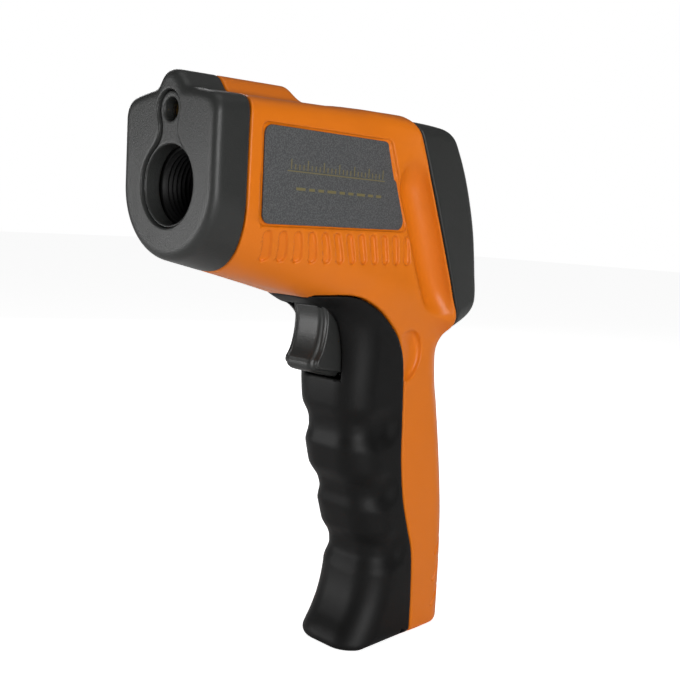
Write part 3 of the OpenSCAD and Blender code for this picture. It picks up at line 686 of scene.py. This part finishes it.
# =====================================================================
# turned and bent pieces
# =====================================================================
def loft(name, rings, closed=False):
    """Skins a row of equal rings; the ends are capped unless the row is closed."""
    size = len(rings[0])
    points = [point for ring in rings for point in ring]
    total = len(points)
    faces = []
    for i in range(len(rings) if closed else len(rings) - 1):
        for k in range(size):
            a, b = i * size + k, i * size + (k + 1) % size
            faces.append((a, b, (b + size) % total, (a + size) % total))
    if not closed:
        faces.append(tuple(range(size))[::-1])
        faces.append(tuple(range(total - size, total)))
    return make(name, points, faces)


def build_baffle_tube():
    """Tube round the optical axis with a grooved bore."""
    # profile points (radius, Y)
    profile = [(9.6, 5.15), (9.6, 36.0), (5.0, 36.0), (5.0, 34.6), (8.12, 34.6), (8.12, 20.8)]
    # one groove: radius, Y from the groove's start
    groove = ((8.25, 0.98), (7.72, 0.74), (7.66, 0.56), (7.72, 0.38), (8.25, 0.14))
    groove_pitch = 1.25
    for i in range(11, -1, -1):
        profile += [(radius, 5.7 + i * groove_pitch + y) for radius, y in groove]
    profile += [(8.3, 5.35), (8.5, 5.15)]
    turns = [2 * math.pi * i / 96 for i in range(96)]
    rings = [[(r * math.cos(turn), y, r * math.sin(turn)) for r, y in profile]
             for turn in turns]
    finish_piece(loft("baffle_tube", rings, closed=True),
                 "housing", DARK, "black_plastic", "lens_barrel")


def wire(name, path, radius, sides=12):
    """Round wire swept along a path."""
    path = [np.array(p, float) for p in path]
    rings = []
    up = np.array([0.13, 0.31, 0.94])
    for i, centre in enumerate(path):
        along = path[min(i + 1, len(path) - 1)] - path[max(i - 1, 0)]
        along /= np.linalg.norm(along)
        across = np.cross(along, up)
        if np.linalg.norm(across) < 0.2:
            across = np.cross(along, np.array([1.0, 0, 0]))
        across /= np.linalg.norm(across)
        up = np.cross(along, across)
        turns = [2 * math.pi * k / sides for k in range(sides)]
        rings.append([centre + radius * (math.cos(turn) * across + math.sin(turn) * up)
                      for turn in turns])
    return loft(name, rings)


# name, radius, material, slot, node, path points (X, Y, Z)
WIRES = [
    ("wire_red", 0.6, RED_WIRE, "red_wire", "positive_wire",
     [(6.4, 76, -49), (6.4, 78, -38), (6, 78.5, -20), (5, 77, -6), (5, 77.6, -0.6)]),
    ("wire_black", 0.6, BLACK_WIRE, "black_wire", "negative_wire",
     [(-6.4, 76, -49), (-6.4, 78, -38), (-6, 78.5, -22), (-14, 78, -9), (-14, 77.5, -1.6)]),
    ("cable_sensor", 1.0, GREY_WIRE, "grey_wire", "sensor_cable",
     [(0, 38.4, -5), (0, 44, -7), (0, 60, -4), (0, 70, 2), (0, 75, 5.4)]),
] + [
    (f"laser_wire_{letter}", 0.5, BLUE_WIRE, "blue_wire", "laser_wires",
     [(s * 1.3, 24.3, 15.6), (s * 1.5, 26.6, 12.9), (s * 2.5, 50, 12.4), (s * 3, 60, 12),
      (s * 3, 71.2, 12.6)])
    for s, letter in ((1, "a"), (-1, "b"))]

BAY_TILT = math.radians(5.93)


def bay_point(x, y, z):
    """Point in the axes of the tilted battery bay."""
    return (x, 74.2 + y * math.cos(BAY_TILT) - z * math.sin(BAY_TILT),
            -78.5 + y * math.sin(BAY_TILT) + z * math.cos(BAY_TILT))


def build_contact_spring(k, end):
    """Conical spring at the top (k = 1) or bottom (k = -1) of the bay."""
    path = []
    for i in range(145):
        t = i / 144
        turn = t * 4.5 * 2 * math.pi
        radius = 2.0 + 1.9 * t
        path.append(bay_point(k * 5.37 + radius * math.cos(turn), radius * math.sin(turn) * k,
                              k * (19.6 + 5.4 * t)))
    finish_piece(wire(f"contact_spring_{end}", path, 0.3, 10),
                 "housing", STEEL, "steel", "contact_springs")


def build_torsion_spring():
    """Coil round the trigger pin with a bent leg at each end."""
    half_length, coil_radius = 2.1, 1.75
    path = [(-half_length, 52.0, -35.2), (-half_length, 52.4, -33.6)]
    for i in range(113):
        turn = math.radians(200 - i * 360 / 32)
        path.append((-half_length + 2 * half_length * i / 112,
                     PIVOT[0] + coil_radius * math.cos(turn),
                     PIVOT[1] + coil_radius * math.sin(turn)))
    path += [(half_length, 53.1, -29.2), (half_length, 52.4, -28.45)]
    finish_piece(wire("torsion_spring", path, 0.27, 10),
                 "door", STEEL, "steel", "trigger_spring")


build_baffle_tube()
for name, radius, material, slot, node, path in WIRES:
    finish_piece(wire(name, spline(path, count=8), radius), "housing", material, slot, node)
for k, end in ((1, "top"), (-1, "bottom")):
    build_contact_spring(k, end)
build_torsion_spring()


# =====================================================================
# labels, window and display segments
# =====================================================================
def rounded(outline, radius, steps=6):
    """Polygon with its corners rounded."""
    result = []
    outline = [np.array(p, float) for p in outline]
    for i, corner in enumerate(outline):
        back, ahead = outline[i - 1] - corner, outline[(i + 1) % len(outline)] - corner
        back /= np.linalg.norm(back)
        ahead /= np.linalg.norm(ahead)
        half = math.acos(np.clip(back @ ahead, -1, 1)) / 2
        reach = radius / math.tan(half)
        middle = (back + ahead) / np.linalg.norm(back + ahead) * radius / math.sin(half)
        centre = corner + middle
        start, end = corner + back * reach - centre, corner + ahead * reach - centre
        first, last = math.atan2(start[1], start[0]), math.atan2(end[1], end[0])
        sweep = (last - first + math.pi) % (2 * math.pi) - math.pi
        for k in range(steps + 1):
            turn = first + sweep * k / steps
            result.append(centre + radius * np.array([math.cos(turn), math.sin(turn)]))
    return result


def slab(name, outline, place, thick, bevel):
    """Flat piece with a softened rim; place maps (u, v, height) to a point."""
    outline = np.array(outline)
    middle = outline.mean(0)

    def inset(amount):
        ring = []
        for i, point in enumerate(outline):
            before, after = outline[i - 1], outline[(i + 1) % len(outline)]
            along = (after - before) / np.linalg.norm(after - before)
            inward = np.array([along[1], -along[0]])
            if inward @ (point - middle) > 0:
                inward = -inward
            ring.append(point + inward * amount)
        return ring

    # inset, height
    steps = ((0.0, 0.0), (0.0, thick - bevel), (bevel * 0.35, thick - bevel * 0.3),
             (bevel, thick))
    piece = loft(name, [[place(u, v, height) for u, v in inset(amount)]
                        for amount, height in steps])
    bm = bmesh.new()
    bm.from_mesh(piece.data)
    bmesh.ops.recalc_face_normals(bm, faces=bm.faces)
    bm.to_mesh(piece.data)
    bm.free()
    piece.data.polygons.foreach_set("use_smooth", [False] * len(piece.data.polygons))
    return piece


def bars_piece(name, bars, place, low, high):
    """Thin boxes between two heights; each bar is (u0, v0, u1, v1)."""
    bm = bmesh.new()
    for u0, v0, u1, v1 in bars:
        corners = [bm.verts.new(Vector(place(u, v, height)) * MM) for height in (low, high)
                   for u, v in ((u0, v0), (u1, v0), (u1, v1), (u0, v1))]
        for face in ((0, 1, 2, 3), (4, 5, 6, 7), (0, 1, 5, 4), (1, 2, 6, 5), (2, 3, 7, 6),
                     (3, 0, 4, 7)):
            bm.faces.new([corners[i] for i in face])
    bmesh.ops.recalc_face_normals(bm, faces=bm.faces)
    mesh = bpy.data.meshes.new(name)
    bm.to_mesh(mesh)
    bm.free()
    return add_object(name, mesh)


def scale_bars():
    """Printed scale in (Y, Z): a rule, its ticks and a row of dashes."""
    bars = [(21.0, 4.75, 55.0, 5.0)]
    for i in range(25):
        y = 22.0 + i * 1.335
        bars.append((y, 5.3, y + 0.3, 7.6 if i % 4 == 0 else 6.5))
    y = 24.0
    for i in range(9):
        length = 1.9 if i % 3 else 3.0
        bars.append((y, 0.6, y + length, 1.25))
        y += length + 1.2
    return bars


def build_label(sign, side):
    def place(y, z, height):
        return (sign * (17.17 + height), y, z)

    outline = rounded([(13.75, 14.6), (55.8, 14.9), (64.4, -7.2), (14.1, -7.5)], 2.2)
    finish_piece(slab(f"side_panel_{side}", outline, place, thick=0.42, bevel=0.1),
                 "housing", LABEL, "label_film", f"{side}_label")
    finish_piece(bars_piece(f"scale_marks_{side}", scale_bars(), place, 0.40, 0.45),
                 "housing", INK, "label_film")


def build_window():
    half_x, half_rise = SEAT_HALF[0] - PANE_GAP, SEAT_HALF[1] - PANE_GAP
    low, high = WINDOW_RISE - half_rise, WINDOW_RISE + half_rise
    outline = rounded([(-half_x, low), (half_x, low), (half_x, high), (-half_x, high)],
                      SEAT_CORNER - PANE_GAP)
    pane = slab("window_pane", outline, lambda x, rise, h: rear_point(x, rise, 13.4 + h),
                thick=1.05, bevel=0.25)
    finish_piece(pane, "housing", WINDOW, "clear_window", "lcd_window")


SEGMENTS = {"2": "abged", "5": "afgcd", "6": "afgedc", "3": "abgcd"}


def digit(figure, x, rise, half_width, half_height, thick):
    """Bars of one seven-segment figure; seen from behind, +X is on the left."""
    w, h, t = half_width, half_height, thick
    spans = {"a": (-w, h - t, w, h), "d": (-w, -h, w, -h + t), "g": (-w, -t / 2, w, t / 2),
             "f": (w - t, 0, w, h), "b": (-w, 0, -w + t, h), "e": (w - t, -h, w, 0),
             "c": (-w, -h, -w + t, 0)}
    gap = 0.12
    return [(x + x0 + gap, rise + z0 + gap, x + x1 - gap, rise + z1 - gap)
            for x0, z0, x1, z1 in (spans[letter] for letter in SEGMENTS[figure])]


def build_segments():
    bars = []
    for figure, x in (("2", 8.4), ("5", 1.6), ("6", -6.4)):
        bars += digit(figure, x, 6.4, half_width=2.3, half_height=4.6, thick=1.0)
    bars.append((-3.0, 1.9, -2.1, 2.8))
    bars += [(9.6 - i * 2.2, -2.4, 10.9 - i * 2.2, -1.5) for i in range(9)]
    for figure, x in (("3", 9.0), ("2", 6.2)):
        bars += digit(figure, x, 14.3, half_width=0.9, half_height=1.5, thick=0.4)
    finish_piece(bars_piece("display_segments", bars, rear_point, 11.72, 11.80),
                 "housing", SEGMENT, "lcd_glass")


for sign, side in ((1, "left"), (-1, "right")):
    build_label(sign, side)
build_window()
build_segments()

# =====================================================================
# CAD pieces that stay, with their own finish
# =====================================================================
KEPT = {
    "ir_lens": GLASS, "lens_ring": STEEL, "thermopile_sensor": STEEL, "sensor_board": BOARD,
    "laser_module": BRASS, "laser_lens": GLASS, "lcd_panel": LCD, "lcd_backlight": WHITE,
    "zebra_strip": PINK, "main_board": BOARD, "main_chip": EPOXY, "buzzer": BRASS,
    "dome_switches": STEEL, "board_screws": STEEL, "body_screws": STEEL,
    "battery_tray": DARK, "battery_left": CELL, "battery_right": CELL,
    "terminal_plates": STEEL, "bridge_plate": STEEL, "switch_board": BOARD,
    "trigger_switch": EPOXY, "switch_plunger": RED, "door_pin": STEEL, "trigger_pin": STEEL}
for name, material in KEPT.items():
    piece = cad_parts[name]
    if not piece.material_slots:
        piece.data.materials.append(material)
    for slot in piece.material_slots:
        slot.material = material


# =====================================================================
# studio (metres)
# =====================================================================
def build_floor():
    """White floor that glows to the camera only."""
    bm = bmesh.new()
    bmesh.ops.create_grid(bm, x_segments=2, y_segments=2, size=4.0)
    mesh = bpy.data.meshes.new("floor")
    bm.to_mesh(mesh)
    bm.free()
    floor = add_object("floor", mesh)
    floor.location = (0, 0, BASE_Z * MM - 0.0003)
    material = bpy.data.materials.new("floor_white")
    material.use_nodes = True
    nodes, links = material.node_tree.nodes, material.node_tree.links
    shader = nodes["Principled BSDF"]
    shader.inputs["Base Color"].default_value = (0.93, 0.93, 0.93, 1)
    shader.inputs["Roughness"].default_value = 0.6
    shader.inputs["Emission Color"].default_value = (1, 1, 1, 1)
    rays = nodes.new("ShaderNodeLightPath")
    glow = nodes.new("ShaderNodeMath")
    glow.operation = "MULTIPLY"
    glow.inputs[1].default_value = 0.85
    links.new(rays.outputs["Is Camera Ray"], glow.inputs[0])
    links.new(glow.outputs[0], shader.inputs["Emission Strength"])
    mesh.materials.append(material)


def build_world():
    """White world: dim as a light, full white to the camera."""
    world = bpy.data.worlds.new("studio")
    scene.world = world
    world.use_nodes = True
    nodes, links = world.node_tree.nodes, world.node_tree.links
    ambient = nodes["Background"]
    backdrop = nodes.new("ShaderNodeBackground")
    for background, strength in ((ambient, 0.11), (backdrop, 1.0)):
        background.inputs["Color"].default_value = (1, 1, 1, 1)
        background.inputs["Strength"].default_value = strength
    rays = nodes.new("ShaderNodeLightPath")
    mix = nodes.new("ShaderNodeMixShader")
    links.new(rays.outputs["Is Camera Ray"], mix.inputs[0])
    links.new(ambient.outputs[0], mix.inputs[1])
    links.new(backdrop.outputs[0], mix.inputs[2])
    links.new(mix.outputs[0], nodes["World Output"].inputs["Surface"])


LIGHT_TARGET = Vector((0, 0.05, -0.04))


def area_light(name, at, width, height, watts):
    light = bpy.data.lights.new(name, "AREA")
    light.shape = "RECTANGLE"
    light.size, light.size_y = width, height
    light.energy = watts
    lamp = add_object(name, light)
    lamp.location = at
    lamp.rotation_euler = (LIGHT_TARGET - Vector(at)).to_track_quat("-Z", "Y").to_euler()


def build_camera():
    """Camera ahead of the nose on the instrument's left, looking back at it."""
    heading, pitch, roll = math.radians(43.12), math.radians(7.31), math.radians(3.39)
    forward = np.array([-math.sin(heading) * math.cos(pitch),
                        math.cos(heading) * math.cos(pitch), -math.sin(pitch)])
    right = np.cross(forward, [0, 0, 1])
    right /= np.linalg.norm(right)
    up = np.cross(right, forward)
    right, up = (math.cos(roll) * right + math.sin(roll) * up,
                 -math.sin(roll) * right + math.cos(roll) * up)
    lens = bpy.data.cameras.new("camera")
    lens.sensor_width = 36.0
    lens.lens = 48.3659216
    lens.clip_start = 0.01
    camera = bpy.data.objects.new("camera", lens)
    pose = Matrix.Identity(4)
    place = (0.17508, -0.12623 + NOSE_Y * MM, -0.00692)
    for i in range(3):
        pose[i] = (right[i], up[i], -forward[i], place[i])
    camera.matrix_world = pose
    scene.collection.objects.link(camera)
    scene.camera = camera


build_floor()
build_world()
area_light("key", at=(0.66, -0.24, 0.04), width=0.30, height=0.36, watts=3.7)
area_light("front_low", at=(-0.40, -0.50, -0.06), width=0.30, height=0.22, watts=2.0)
area_light("top", at=(0.12, 0.06, 0.55), width=0.45, height=0.45, watts=0.6)
area_light("rim", at=(-0.62, 0.30, 0.25), width=0.25, height=0.4, watts=1.8)
area_light("back_low", at=(0.05, 0.75, -0.02), width=0.30, height=0.3, watts=0.55)
build_camera()
scene.view_settings.view_transform = "Standard"
scene.view_settings.look = "None"
scene.view_settings.exposure = 0.0
